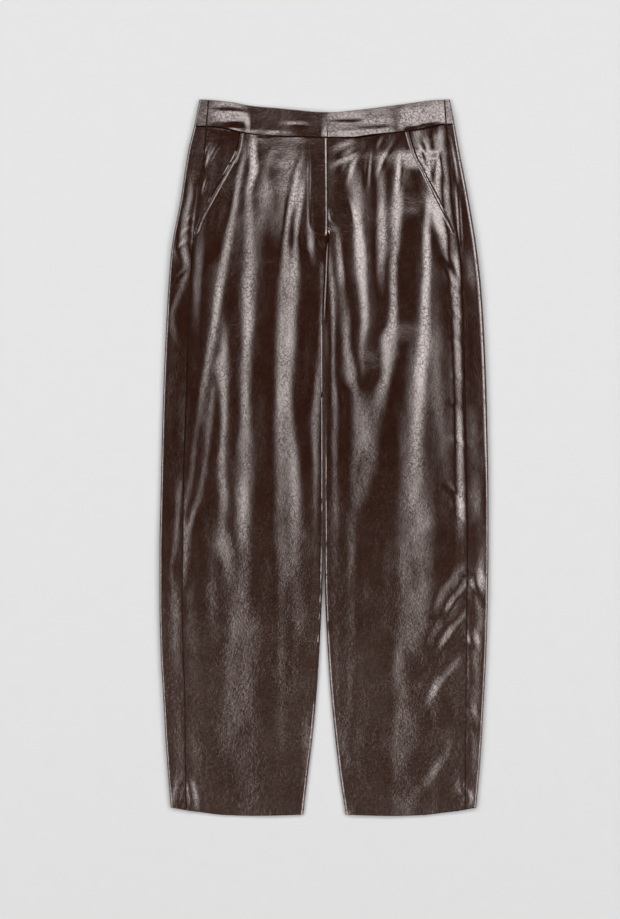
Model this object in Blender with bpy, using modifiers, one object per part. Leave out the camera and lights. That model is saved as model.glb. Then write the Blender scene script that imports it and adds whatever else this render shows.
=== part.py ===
"""Leather trousers, laid out flat with the front up. Blender 4.5, metres, +Z up.

The garment lies on the plane z = 0 with its waist towards +Y. The origin is the middle of its
outline, on that plane. Each leg is a flattened tube: the back panel lies flat, rolls round the
outer side and comes up to the side seam, and the front panel lies over it in long soft folds.
The wearer's right leg is on the -X side.

Sizes below are in millimetres. A "drop" is a distance down from the highest point of the
waistband, and an "out" is a distance from the middle line towards the leg's outer side.
"""

import math
from typing import NamedTuple

import bmesh
import bpy
import numpy as np

MM = 0.001

# ---------------------------------------------------------------- driving dimensions, mm
LENGTH = 1018.0  # highest point of the waistband to the lowest point of the hem
WALL = 1.2  # leather with its backing
BAND_WALL = 2.0  # waistband: two layers, pressed
ZIP_WALL = 1.0
HOOK_WALL = 0.8
GAP = 0.3  # between pieces, at a seam or one on another
BACK_WAIST_GAP = 0.5  # at the waist seam of the backs, which curves round the side

CROTCH = 317.0  # drop at which the legs part
CROTCH_EASE = 28.0  # half of the stretch in which the fronts turn down into the legs

ROLL_OUT = 6.5  # how far an outer side's roll reaches inwards, at the thigh
ROLL_OUT_WAIST = 3.6
ROLL_IN = 4.5  # the same for an inner leg edge
MEET = 3.0  # height at which front and back meet along an inner leg edge
MEET_GAP = 0.7  # between their outer faces there; their inner faces lean towards each other
CENTRE_FALL = 0.6  # how far a front turns down at the centre front seam

SIDE_TROUGH_OUT = 8.5  # from the side seam in to the middle of the flank beside it
SIDE_TROUGH_WIDTH = 13.0

FLY_BOTTOM = 190.0
FLY_UNDERLAP = 26.0  # left front under the right one
FLY_LIFT = WALL + ZIP_WALL + 2 * GAP + 0.1
FLY_WIDTH = 25.0  # fly edge to the row of stitches
FLY_FLANK = 8.0  # width of the slope up to the raised fly
BAND_LIFT = BAND_WALL + HOOK_WALL + 2 * GAP
ZIP_WIDTH = 20.0
ZIP_INSET = 4.0  # fly edge to the zip
HOOK_SIZE = (13.0, 11.0)

POCKET_BOTTOM = 192.0
POCKET_LIFT = WALL + GAP + 0.1
POCKET_UNDERLAP = 15.0  # pocket facing under the front
POCKET_EASE = 24.0  # from the underlap's end to where the front lies flat again

WAIST_ROW = 55.0  # nominal drop of the first row of the panels
BAND_TOP_Z = 5.2  # top of the upper layer of the waistband at the side seams


# ---------------------------------------------------------------- tables, mm
class Section(NamedTuple):
    drop: float
    edge: float  # out to the outline
    seam: float  # out to the side seam, which shows on the front


RIGHT_SECTIONS = [
    Section(0, 177, 164),
    Section(39, 185, 167),
    Section(72, 193, 169.5),
    Section(143, 204, 179.5),
    Section(214, 217, 186.5),
    Section(285, 222.5, 190.5),
    Section(427, 229, 195.5),
    Section(569, 232.5, 200),
    Section(640, 234, 200.5),
    Section(711, 234, 201.5),
    Section(782, 232.5, 200),
    Section(853, 228.5, 197.5),
    Section(924, 224.5, 197),
    Section(1018, 217, 195.5),
]
LEFT_SECTIONS = [
    Section(0, 179, 171),
    Section(39, 186.5, 173.5),
    Section(72, 192.5, 176.5),
    Section(143, 206, 181.5),
    Section(214, 217.5, 192),
    Section(285, 225, 196.5),
    Section(427, 231.5, 200),
    Section(569, 234, 202.5),
    Section(640, 234, 203.5),
    Section(711, 233, 202.5),
    Section(782, 231, 202),
    Section(853, 227.5, 201.5),
    Section(924, 223.5, 200.5),
    Section(1018, 215.5, 200.5),
]
# drop, out to the inner edge of the right leg, and of the left leg
INNER_LEG = [
    (600, 0, 0),
    (682, 1.6, 0.6),
    (740, 4, 2.6),
    (797, 7, 6),
    (853, 11, 10.3),
    (910, 16.7, 16),
    (967, 23.5, 23),
    (1018, 29.5, 31),
]
# drop, x of the line where the two fronts meet
CENTRE_FRONT = [(0, 3.5), (54, 4.2), (190, 4.8), (240, 3.4), (300, 0.8), (340, 0), (1018, 0)]
# x, drop
TOP_EDGE = [
    (-190, 0),
    (-170, 0.4),
    (-132, 4),
    (-105, 9),
    (-63, 13),
    (-39, 15.5),
    (0, 18.5),
    (12, 18.5),
    (40, 16),
    (94, 9.5),
    (130, 4.5),
    (160, 1),
    (190, 0),
]
WAIST_SEAM = [
    (-200, 38.5),
    (-163, 39),
    (-142, 41.5),
    (-113, 48),
    (-83, 52),
    (-48, 53.5),
    (4, 54.5),
    (37, 55),
    (68, 51),
    (108, 47),
    (125, 45),
    (151, 40),
    (165, 36.5),
    (200, 35.5),
]
# out, drop
HEM = [(0, 1016), (30, 1016.5), (100, 1018), (140, 1017), (171, 1013.5), (190, 1011), (207, 1008), (240, 1003)]
# drop, out to the edge of the pocket's mouth on the right side, and on the left
POCKET_MOUTH = [(36, 118, 118), (72, 124, 128), (102, 139, 142), (136, 158, 160), (169, 175, 176), (192, 184, 186)]
# drop, height of the outer side's top, height of the front's flat ground, top of the inner edge
HEIGHTS = [
    (36, 5.0, 5.0, 5.0),
    (90, 7.4, 5.3, 5.4),
    (160, 9.0, 5.5, 5.8),
    (330, 9.6, 5.7, 6.0),
    (620, 9.6, 5.8, 6.1),
    (900, 8.4, 5.4, 5.9),
    (1018, 7.0, 5.2, 5.6),
]


class Station(NamedTuple):
    """A fold where a given drop crosses it: a flat-topped ridge between two flanks."""

    drop: float
    left: float  # x of the middle of the flank that faces -X
    right: float
    left_width: float
    right_width: float
    height: float


FOLDS = {
    "crease_right": [
        Station(40, -104, -30, 16, 18, 0.0),
        Station(72, -103, -38, 16, 20, 2.0),
        Station(143, -105.5, -47, 16, 20, 5.0),
        Station(214, -105.5, -52, 18, 26, 6.5),
        Station(285, -105.5, -51.5, 19, 31, 7.3),
        Station(427, -111, -55, 18, 29, 7.5),
        Station(569, -110, -50, 20, 38, 6.2),
        Station(655, -105, -47, 28, 42, 4.8),
        Station(768, -96, -45, 38, 44, 2.8),
        Station(900, -94, -47, 48, 50, 1.4),
        Station(1018, -94, -48, 50, 50, 0.8),
    ],
    "hip_right": [
        Station(45, -112, -86, 10, 26, 0.0),
        Station(90, -116, -84, 9, 30, 1.8),
        Station(143, -124.5, -82, 9, 34, 2.8),
        Station(214, -139.5, -85, 10, 34, 3.0),
        Station(285, -151, -86, 10, 34, 3.0),
        Station(345, -160, -90, 10, 34, 3.0),
        Station(400, -168, -92, 10, 34, 0.0),
    ],
    "outer_thigh_right": [
        Station(318, -155.5, -142, 9, 9, 0.0),
        Station(371, -163.5, -149, 9, 9, 2.6),
        Station(427, -173.5, -158.5, 9, 9, 3.0),
        Station(498, -181.5, -165, 9, 10, 3.0),
        Station(569, -190, -175, 10, 11, 2.4),
        Station(625, -196, -184, 10, 12, 0.0),
    ],
    "thigh_right": [
        Station(330, -134.5, -92, 12, 34, 0.0),
        Station(385, -139, -92, 12, 34, 2.6),
        Station(456, -141, -92, 12, 34, 3.0),
        Station(527, -145, -92, 14, 36, 3.0),
        Station(598, -149, -92, 22, 40, 3.0),
        Station(683, -152, -92, 34, 44, 2.4),
        Station(825, -156, -94, 42, 48, 1.4),
        Station(985, -156, -94, 44, 48, 0.0),
    ],
    "inner_thigh_right": [
        Station(225, -32, -4, 18, 5, 0.0),
        Station(300, -32, -5.5, 20, 6, 1.8),
        Station(385, -32, -7, 20, 8, 2.2),
        Station(498, -34, -11.5, 20, 9, 2.4),
        Station(640, -36, -12.5, 22, 9, 2.2),
        Station(780, -42, -20, 24, 11, 1.4),
        Station(930, -58, -32, 26, 14, 0.6),
        Station(1018, -66, -44, 26, 14, 0.3),
    ],
    "crease_left": [
        Station(40, 104, 112, 14, 10, 0.0),
        Station(72, 105, 117, 16, 10, 1.6),
        Station(102, 103, 130, 22, 10, 4.4),
        Station(143, 99, 145, 32, 12, 6.2),
        Station(214, 94, 148, 30, 12, 6.8),
        Station(285, 98, 145.5, 18, 14, 6.8),
        Station(356, 94, 142.5, 20, 17, 7.0),
        Station(427, 84, 134.5, 20, 17, 7.0),
        Station(498, 71, 131, 28, 22, 5.8),
        Station(569, 64, 126, 26, 42, 4.2),
        Station(655, 57, 121, 26, 54, 3.0),
        Station(853, 52, 112, 30, 58, 1.6),
        Station(1018, 54, 112, 34, 58, 0.8),
    ],
    "inner_crease_left": [
        Station(160, 19, 46, 8, 12, 0.0),
        Station(214, 27.5, 51.5, 8, 12, 2.4),
        Station(285, 33, 57, 9, 12, 3.0),
        Station(356, 34.5, 60, 11, 14, 2.6),
        Station(427, 39, 72, 18, 20, 1.8),
        Station(498, 41, 87, 13, 30, 2.2),
        Station(569, 40, 104, 9, 46, 2.6),
        Station(711, 42, 122, 10, 56, 2.6),
        Station(853, 38.5, 122, 10, 58, 2.0),
        Station(967, 37, 118, 11, 58, 0.9),
        Station(1018, 37, 118, 12, 58, 0.5),
    ],
    "inner_thigh_left": [
        Station(225, 8.5, 26, 6, 12, 0.0),
        Station(285, 13, 28, 7, 14, 1.8),
        Station(385, 14, 32, 8, 16, 2.2),
        Station(498, 16, 36, 8, 18, 2.4),
        Station(640, 16, 36, 8, 18, 2.2),
        Station(780, 21, 40, 10, 18, 1.4),
        Station(930, 31, 48, 12, 18, 0.6),
        Station(1018, 44, 60, 12, 18, 0.3),
    ],
    "knee_upper_left": [
        Station(655, 196, 206, 9, 9, 0.0),
        Station(683, 183, 194, 9, 9, 2.6),
        Station(711, 172, 183, 10, 10, 2.2),
        Station(738, 164, 176, 10, 10, 0.0),
    ],
    "knee_middle_left": [
        Station(705, 196, 206, 9, 9, 0.0),
        Station(733, 184, 195, 9, 9, 2.4),
        Station(758, 174, 185, 10, 10, 1.8),
        Station(780, 168, 179, 10, 10, 0.0),
    ],
    "knee_lower_left": [
        Station(778, 192, 204, 10, 10, 0.0),
        Station(804, 173, 187, 12, 12, 2.6),
        Station(839, 152, 167, 14, 14, 2.6),
        Station(910, 145, 161, 16, 16, 1.4),
        Station(960, 143, 160, 16, 16, 0.0),
    ],
}


# ---------------------------------------------------------------- curves through the tables
def curve(at, xs, ys):
    """A smooth curve through a table's points that never swings past them, flat beyond its ends."""
    xs, ys = np.asarray(xs, float), np.asarray(ys, float)
    at = np.clip(at, xs[0], xs[-1])
    run = np.diff(xs)
    rise = np.diff(ys) / run
    slope = np.zeros_like(ys)
    same_way = rise[:-1] * rise[1:] > 0
    before, after = run[:-1], run[1:]
    weight_a, weight_b = 2 * after + before, after + 2 * before
    with np.errstate(divide="ignore", invalid="ignore"):
        mean = (weight_a + weight_b) / (weight_a / rise[:-1] + weight_b / rise[1:])
    slope[1:-1] = np.where(same_way, mean, 0.0)
    slope[0], slope[-1] = rise[0], rise[-1]
    i = np.clip(np.searchsorted(xs, at, side="right") - 1, 0, len(xs) - 2)
    t = (at - xs[i]) / run[i]
    return (
        ys[i] * (1 + 2 * t) * (1 - t) ** 2
        + ys[i + 1] * t**2 * (3 - 2 * t)
        + run[i] * t * (1 - t) * (slope[i] * (1 - t) - slope[i + 1] * t)
    )


def column(table, number):
    return [row[number] for row in table]


def read(table, number, at):
    return curve(at, column(table, 0), column(table, number))


def step(value, middle, width):
    """Rises smoothly from 0 to 1 over the given width."""
    t = np.clip((value - middle) / width + 0.5, 0, 1)
    return t * t * (3 - 2 * t)


def fold_height(stations, x, drop):
    left, right, left_width, right_width, height = (
        read(stations, number, drop) for number in range(1, 6)
    )
    inside = (drop > stations[0].drop) & (drop < stations[-1].drop + 1)
    return inside * height * (step(x, left, left_width) - step(x, right, right_width))


# ---------------------------------------------------------------- the two sides of the garment
class Side(NamedTuple):
    name: str
    sign: int  # of x
    sections: list
    number: int  # this side's column in the tables that hold both


RIGHT = Side("right", -1, RIGHT_SECTIONS, 1)
LEFT = Side("left", 1, LEFT_SECTIONS, 2)


def edge_out(side, drop):
    return read(side.sections, 1, drop)


def seam_out(side, drop):
    return read(side.sections, 2, drop)


def inner_out(side, drop):
    return read(INNER_LEG, side.number, drop) + GAP / 2


def centre_x(drop):
    return read(CENTRE_FRONT, 1, drop)


def mouth_out(side, drop):
    """Out to the front panel's outer edge: the pocket's mouth, and the side seam below it."""
    slanted = read(POCKET_MOUTH, side.number, drop)
    return np.where(drop < POCKET_BOTTOM, np.minimum(slanted, seam_out(side, drop)), seam_out(side, drop))


def in_leg(drop):
    """0 where the fronts meet at the centre, 1 where each leg is on its own."""
    return step(drop, CROTCH, 2 * CROTCH_EASE)


def ground(side, x, drop):
    """Height of the upper surface between its folds, with the rise to the outer side."""
    side_top, level = (read(HEIGHTS, number, drop) for number in (1, 2))
    from_seam = seam_out(side, drop) - side.sign * x
    return side_top + (level - side_top) * step(from_seam, SIDE_TROUGH_OUT, SIDE_TROUGH_WIDTH)


def skin(side, x, drop):
    """Height of the upper surface with its folds."""
    return ground(side, x, drop) + sum(fold_height(stations, x, drop) for stations in FOLDS.values())


def row_drop(x, nominal, waist_gap=GAP):
    """Drop of a point at x on the row of that nominal drop: rows follow the waist seam and the hem."""
    near_waist = 1 - step(nominal, WAIST_ROW + 70, 140)
    near_hem = step(nominal, LENGTH - 50, 100)
    waist = read(WAIST_SEAM, 1, x) - WAIST_ROW + waist_gap
    hem = read(HEM, 1, np.abs(x)) - LENGTH
    return nominal + waist * near_waist + hem * near_hem


def on_rows(place, nominal, waist_gap=GAP):
    """x and drop of points on rows, where place gives x for a drop."""
    x = place(nominal)
    x = place(row_drop(x, nominal, waist_gap))
    return x, row_drop(x, nominal, waist_gap)


def finished(x, drop, height):
    """Coordinates in metres: y runs up the garment, from the middle of its length."""
    return np.stack([x, LENGTH / 2 - drop, height], axis=-1) * MM


# Share of the way down each row of the panels lies, closer at the pockets, the fly and the crotch
ROW_DROPS = [(0, WAIST_ROW), (0.1, 115), (0.24, 215), (0.4, 355), (0.62, 590), (0.82, 820), (1, LENGTH)]


def nominal_drop(v):
    return read(ROW_DROPS, 1, v)


# ---------------------------------------------------------------- shapes of the pieces
def turn_down(t, legs):
    """Along and across, 0 to 1 each, of a rounded edge. It ends square across where legs is 1."""
    return t + (1 - (1 - t) ** 2.5 - t) * legs, t**2


FRONT_FLAT = 0.86  # share of the columns that isn't in the inner roll
# Share of those columns, and how far across they lie: the first is narrow, so that the side seam is level
FRONT_COLUMNS = [(0, 0), (0.042, 0.012), (0.13, 0.07), (0.3, 0.25), (1, 1)]


def front_lift(side, x, drop):
    """How far the front stands above the skin: over the pocket's facing, and at the fly."""
    over_facing = POCKET_UNDERLAP + 3
    inwards = mouth_out(side, drop) - side.sign * x
    pocket = 1 - step(inwards, over_facing + POCKET_EASE / 2, POCKET_EASE)
    pocket = pocket * (1 - step(drop, POCKET_BOTTOM + 36, 34))
    if side is LEFT:
        return POCKET_LIFT * pocket
    from_fly = centre_x(drop) - x
    fly = 1 - step(from_fly, FLY_WIDTH + FLY_FLANK / 2 + 2, FLY_FLANK)
    fly = fly * (1 - step(drop, FLY_BOTTOM + 16, 24))
    return POCKET_LIFT * pocket + FLY_LIFT * fly


def front_inner_x(side, drop):
    underlap = FLY_UNDERLAP * (1 - step(drop, FLY_BOTTOM - 12, 16)) if side is LEFT else 0
    centre = centre_x(drop) + side.sign * GAP / 2 - underlap
    leg = side.sign * inner_out(side, drop)
    return np.where(drop < CROTCH, centre, leg)


def front_shape(side):
    def shape(u, v):
        flat = read(FRONT_COLUMNS, 1, np.clip(u / FRONT_FLAT, 0, 1))
        rolled = np.clip((u - FRONT_FLAT) / (1 - FRONT_FLAT), 0, 1)

        def place(drop):
            outer = side.sign * (mouth_out(side, drop) - GAP / 2)
            inner = front_inner_x(side, drop)
            start = inner + side.sign * ROLL_IN
            along, _ = turn_down(rolled, in_leg(drop))
            return outer + (start - outer) * flat + (inner - start) * along

        x, drop = on_rows(place, nominal_drop(v))
        shoulder = front_inner_x(side, drop) + side.sign * ROLL_IN
        at = np.where(side.sign * x < side.sign * shoulder, shoulder, x)
        top = skin(side, at, drop) + front_lift(side, at, drop)
        _, across = turn_down(rolled, in_leg(drop))
        fall = (CENTRE_FALL + (top - MEET - MEET_GAP / 2 - CENTRE_FALL) * in_leg(drop)) * across
        under_fly = (side is LEFT) * (1 - step(drop, FLY_BOTTOM, 16))
        over_zip = (side is RIGHT) * (1 - step(drop, FLY_BOTTOM + 4, 16))
        return finished(x, drop, top - fall * (1 - under_fly) * (1 - over_zip))

    return shape


# Shares of the back panel's columns: up the inner roll, across the floor, round the side, on top
BACK_PARTS = (0.14, 0.54, 0.82, 1.0)


def outer_roll(drop):
    return ROLL_OUT_WAIST + (ROLL_OUT - ROLL_OUT_WAIST) * step(drop, 90, 110)


def back_shape(side):
    inner_end, floor_end, roll_end, _ = BACK_PARTS

    def shape(u, v):
        rolled = np.clip(1 - u / inner_end, 0, 1)
        floor = np.clip((u - inner_end) / (floor_end - inner_end), 0, 1)
        turned = np.clip((u - floor_end) / (roll_end - floor_end), 0, 1) * math.pi
        on_top = np.clip((u - roll_end) / (1 - roll_end), 0, 1)

        def place(drop):
            inner = np.where(drop < CROTCH, GAP / 2, inner_out(side, drop))
            along, _ = turn_down(rolled, in_leg(drop))
            roll = outer_roll(drop)
            floor_out = edge_out(side, drop) - roll
            out = inner + ROLL_IN * (1 - along) + (floor_out - inner - ROLL_IN) * floor
            out = out + roll * np.sin(turned)
            out = out + (seam_out(side, drop) + GAP / 2 - floor_out) * on_top
            return side.sign * out

        x, drop = on_rows(place, nominal_drop(v), BACK_WAIST_GAP)
        _, across = turn_down(rolled, in_leg(drop))
        up = (MEET - MEET_GAP / 2) * in_leg(drop) ** 2 * across
        roll_top = skin(side, side.sign * (edge_out(side, drop) - outer_roll(drop)), drop)
        up = up + roll_top * (1 - np.cos(turned)) / 2
        return finished(x, drop, np.where(on_top > 0, skin(side, x, drop), up))

    return shape


FACING_COLUMNS = [(0, 0), (0.125, 0.05), (1, 1)]


def facing_shape(side):
    """The cloth that shows between a pocket's mouth and the side seam, and runs under the front."""

    def shape(u, v):
        def place(drop):
            outer = seam_out(side, drop) - GAP / 2
            inner = np.minimum(read(POCKET_MOUTH, side.number, drop), outer) - POCKET_UNDERLAP
            return side.sign * (outer + (inner - outer) * read(FACING_COLUMNS, 1, u))

        x, drop = on_rows(place, WAIST_ROW + (POCKET_BOTTOM + 6 - WAIST_ROW) * v)
        return finished(x, drop, ground(side, x, drop))

    return shape


def band_rows(x, v, inset=0.0):
    """Drop of points across the waistband at x, from its top edge to the waist seam."""
    top = read(TOP_EDGE, 1, x) + inset
    bottom = read(WAIST_SEAM, 1, x)
    return top + (bottom - top) * v


def on_band(place, v, inset=0.0):
    x = place(band_rows(place(np.full_like(v, 20.0)), v, inset))
    return x, band_rows(x, v, inset)


def band_front_shape(side):
    def shape(u, v):
        def place(drop):
            outer = side.sign * (seam_out(side, drop) - GAP / 2)
            inner = centre_x(drop) + side.sign * GAP / 2
            if side is LEFT:
                inner = inner - FLY_UNDERLAP
            return outer + (inner - outer) * u

        x, drop = on_band(place, v)
        raised = step(x, centre_x(drop) - FLY_UNDERLAP - 5, 6) if side is RIGHT else 0
        return finished(x, drop, BAND_TOP_Z + BAND_LIFT * raised + 0 * v)

    return shape


def band_back_shape():
    """One strip: from the right side seam, round the side, across the back and round to the left."""
    roll = BAND_TOP_Z / 2
    wrap, turn = 0.1, 0.25  # shares of the columns on top of a side, and to the end of its roll

    def shape(u, v):
        side_sign = np.where(u < 0.5, -1.0, 1.0)
        t = np.minimum(u, 1 - u)
        on_top = np.clip(1 - t / wrap, 0, 1)
        turned = np.clip((t - wrap) / (turn - wrap), 0, 1) * math.pi
        across = np.clip((t - turn) / (0.5 - turn), 0, 1)

        def place(drop):
            edge = np.where(side_sign < 0, edge_out(RIGHT, drop), edge_out(LEFT, drop)) - roll
            seam = np.where(side_sign < 0, seam_out(RIGHT, drop), seam_out(LEFT, drop)) + GAP / 2
            out = edge + (seam - edge) * on_top + roll * np.sin(turned) - edge * across
            return side_sign * out

        x, drop = on_band(place, v)
        return finished(x, drop, roll * (1 + np.cos(turned)))

    return shape


def zip_shape(u, v):
    """The closed zip, a plain strip under the fly, on the left front's underlap."""
    drop = 60 + (FLY_BOTTOM - 22 - 60) * v
    x = centre_x(drop) - ZIP_INSET - ZIP_WIDTH * u
    return finished(x, drop, skin(LEFT, x, drop) + GAP + ZIP_WALL)


def hook_shape(u, v):
    """The flat hook that closes the waistband, between its two ends."""
    width, height = HOOK_SIZE
    drop = 32 + height * v
    x = centre_x(drop) - 6 - width * u
    return finished(x, drop, BAND_TOP_Z + GAP + HOOK_WALL + 0 * u)


# ---------------------------------------------------------------- making the objects
def material(name, colour, roughness, metallic=0.0):
    made = bpy.data.materials.new(name)
    made.use_nodes = True
    shader = made.node_tree.nodes["Principled BSDF"]
    shader.inputs["Base Color"].default_value = (*colour, 1.0)
    shader.inputs["Roughness"].default_value = roughness
    shader.inputs["Metallic"].default_value = metallic
    return made


def sheet(name, shape, columns, rows, wall, surface, collection):
    """A grid bent to a shape, its outer face up or outwards, and given a wall's thickness inwards."""
    bm = bmesh.new()
    bmesh.ops.create_grid(bm, x_segments=columns, y_segments=rows, size=0.5)
    bm.verts.ensure_lookup_table()
    u = np.array([vert.co.x + 0.5 for vert in bm.verts])
    v = np.array([vert.co.y + 0.5 for vert in bm.verts])
    for vert, point in zip(bm.verts, shape(u, v)):
        vert.co = point
    bm.normal_update()
    # the last column is always on the upper side, or near it
    facing = sum(face.normal.z for face in bm.faces if face.calc_center_median().z > wall * MM * 2)
    if facing < 0:
        bmesh.ops.reverse_faces(bm, faces=bm.faces)
    mesh = bpy.data.meshes.new(name)
    bm.to_mesh(mesh)
    bm.free()
    mesh.materials.append(surface)
    mesh.shade_smooth()
    made = bpy.data.objects.new(name, mesh)
    collection.objects.link(made)
    solidify = made.modifiers.new("Wall", "SOLIDIFY")
    solidify.thickness = wall * MM
    solidify.offset = -1
    solidify.use_even_offset = True
    return made


def main():
    for old in list(bpy.data.objects):
        bpy.data.objects.remove(old, do_unlink=True)
    collection = bpy.data.collections.new("Leather trousers")
    bpy.context.scene.collection.children.link(collection)
    leather = material("Brown leather", (0.045, 0.022, 0.015), 0.32)
    tape = material("Zip tape", (0.02, 0.012, 0.01), 0.8)
    steel = material("Hook steel", (0.55, 0.54, 0.52), 0.3, 1.0)

    for side in (RIGHT, LEFT):
        sheet(f"front_{side.name}", front_shape(side), 28, 34, WALL, leather, collection)
        sheet(f"back_{side.name}", back_shape(side), 22, 34, WALL, leather, collection)
        sheet(f"pocket_facing_{side.name}", facing_shape(side), 8, 10, WALL, leather, collection)
        sheet(f"waistband_front_{side.name}", band_front_shape(side), 20, 2, BAND_WALL, leather, collection)
    sheet("waistband_back", band_back_shape(), 40, 2, BAND_WALL, leather, collection)
    sheet("fly_zip", zip_shape, 3, 8, ZIP_WALL, tape, collection)
    sheet("waist_hook", hook_shape, 2, 2, HOOK_WALL, steel, collection)


main()
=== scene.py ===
"""The looks of the leather trousers, laid out flat with the front up.

Every panel is made again here as a thin shell on its solid's form, with the fine folds, creases
and rolled edges that the solid leaves out, then sewn with thread and given a glossy, crackled
dark brown leather. Lengths are in millimetres unless they are said to be metres.

The folds are given on a grid of 1.42 mm steps: a column is counted across from the wearer's
right, with the middle line at 324, and a line is counted down, with the top of the waistband
at 99.05.
"""

import math
from functools import partial
from typing import NamedTuple

import bpy
import numpy as np
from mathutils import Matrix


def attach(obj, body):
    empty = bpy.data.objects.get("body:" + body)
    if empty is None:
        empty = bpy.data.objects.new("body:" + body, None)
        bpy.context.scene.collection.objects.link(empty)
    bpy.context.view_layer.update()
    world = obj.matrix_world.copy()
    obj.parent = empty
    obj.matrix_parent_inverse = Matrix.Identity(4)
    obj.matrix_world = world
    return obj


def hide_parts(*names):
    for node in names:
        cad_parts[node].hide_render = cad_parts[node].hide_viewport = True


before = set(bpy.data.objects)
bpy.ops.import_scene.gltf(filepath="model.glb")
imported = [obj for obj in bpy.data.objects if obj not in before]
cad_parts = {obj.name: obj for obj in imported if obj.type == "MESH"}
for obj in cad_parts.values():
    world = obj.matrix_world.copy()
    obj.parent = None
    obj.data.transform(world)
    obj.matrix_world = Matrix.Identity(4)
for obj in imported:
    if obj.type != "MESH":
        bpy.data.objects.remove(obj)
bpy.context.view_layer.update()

MM = 0.001
STEP = 1.42  # of the grid
MIDDLE_COLUMN = 324
TOP_LINE = 99.05

# -------- sizes of the garment
LENGTH = 1018.0
WALL = 1.2  # leather with its backing
BAND_WALL = 2.0
ZIP_WALL = 1.0
HOOK_WALL = 0.8
GAP = 0.3  # between pieces, at a seam or one on another

CROTCH = 317.0  # drop at which the legs part
CROTCH_EASE = 28.0  # half of the stretch in which the fronts turn down into the legs

ROLL_IN = 3.0  # how far the roll of a front's inner edge reaches outwards
BACK_ROLL_IN = 4.5
MEET = 3.0  # height at which front and back meet along an inner leg edge
MEET_GAP = 0.4
CENTRE_FALL = 2.4  # how far a front turns down at the centre front seam

FLY_BOTTOM = 190.0
FLY_RUN_OUT = 16.0  # stretch in which one front stops lying over the other, below the fly
FLY_UNDERLAP = 26.0  # left front under the right one
FLY_LIFT = WALL + ZIP_WALL + 2 * GAP + 0.1
FLY_WIDTH = 25.0  # fly edge to the row of stitches
FLY_FLANK = 46.0  # width of the slope up to the raised fly
BAND_LIFT = BAND_WALL + HOOK_WALL + 2 * GAP

POCKET_BOTTOM = 192.0
POCKET_LIFT = WALL + GAP + 0.1
POCKET_UNDERLAP = 15.0  # pocket facing under the front
POCKET_EASE = 24.0  # from the underlap's end to where the front lies flat again

WAIST_ROW = 55.0  # nominal drop of the first row of the panels
BAND_TOP_Z = 5.2  # top of the upper layer of the waistband at the side seams
BAND_WIDTH = 36.0

LEAST_TOP = 2.9  # the front's top over its back, at the least
TOP_SOFTNESS = 0.4
TURN_REACH = 1.0  # width of the strip beside a seam or a folded edge that turns down
TURN_DEPTH = 1.1
EDGE_SHARE = 0.008  # share of a piece's columns that this strip has
MOUTH_STITCH = 4.3  # how far inside the pocket's mouth its stitches run
STITCH_GROOVE = 0.35  # depth
GROOVE_REACH = 1.2

# drop, how far out the right and the left outer edge lie, then the right and the left side seam
SECTIONS = [
    (0, 177, 179, 164, 171), (39, 185, 186.5, 167, 173.5), (72, 193, 192.5, 169.5, 176.5),
    (143, 204, 206, 179.5, 181.5), (214, 217, 217.5, 186.5, 192), (285, 222.5, 225, 190.5, 196.5),
    (427, 229, 231.5, 195.5, 200), (569, 232.5, 234, 200, 202.5), (640, 234, 234, 200.5, 203.5),
    (711, 234, 233, 201.5, 202.5), (782, 232.5, 231, 200, 202), (853, 228.5, 227.5, 197.5, 201.5),
    (924, 224.5, 223.5, 197, 200.5), (1018, 217, 215.5, 195.5, 200.5),
]
# drop, how far out the right and the left inner leg edge lie
INNER_LEG = [
    (600, 0, 0), (682, 1.6, 0.6), (740, 4, 2.6), (797, 7, 6), (853, 11, 10.3), (910, 16.7, 16),
    (967, 23.5, 23), (1018, 29.5, 31),
]
# drop, x of the centre front
CENTRE_FRONT = [(0, 3.5), (54, 4.2), (190, 4.8), (240, 3.4), (300, 0.8), (340, 0), (1018, 0)]
# x, drop of the waistband's upper edge, then of its seam
TOP_EDGE = [
    (-190, 0), (-170, 0.4), (-132, 4), (-105, 9), (-63, 13), (-39, 15.5), (0, 18.5), (12, 18.5),
    (40, 16), (94, 9.5), (130, 4.5), (160, 1), (190, 0),
]
WAIST_SEAM = [
    (-200, 38.5), (-163, 39), (-142, 41.5), (-113, 48), (-83, 52), (-48, 53.5), (4, 54.5), (37, 55),
    (68, 51), (108, 47), (125, 45), (151, 40), (165, 36.5), (200, 35.5),
]
# distance from the middle, drop of the hem
HEM = [
    (0, 1016), (30, 1016.5), (100, 1018), (140, 1017), (171, 1013.5), (190, 1011), (207, 1008),
    (240, 1003),
]
# drop, how far out the mouths of the right and the left pocket lie
POCKET_MOUTH = [
    (36, 118, 118), (72, 124, 128), (102, 139, 142), (136, 158, 160), (169, 175, 176),
    (192, 184, 186),
]
# drop, how far the right and the left outer side take to turn over
OUTER_ROLL = [
    (36, 3.2, 3.6), (100, 3.0, 5.2), (280, 3.0, 6.5), (460, 3.0, 6.0), (580, 3.0, 3.6),
    (1018, 3.0, 3.2),
]
# drop, top of the right outer side, of the left one, the ground between the folds,
# then how wide the fall from the outer side to the ground is, right and left
HEIGHTS = [
    (36, 7.0, 8.0, 6.6, 26, 14), (60, 7.2, 8.2, 6.6, 26, 14), (90, 7.6, 8.4, 6.4, 26, 14),
    (160, 8.0, 8.8, 6.0, 24, 16), (220, 8.2, 9.0, 5.8, 20, 18), (285, 7.9, 9.4, 5.7, 18, 18),
    (345, 6.6, 9.4, 5.7, 20, 17), (400, 6.4, 9.2, 5.8, 26, 17), (500, 6.6, 8.8, 5.8, 26, 17),
    (570, 6.8, 8.2, 5.8, 26, 18), (650, 7.0, 7.2, 5.8, 26, 24), (900, 7.0, 7.0, 5.4, 26, 24),
    (1018, 6.6, 6.6, 5.2, 26, 24),
]


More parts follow.
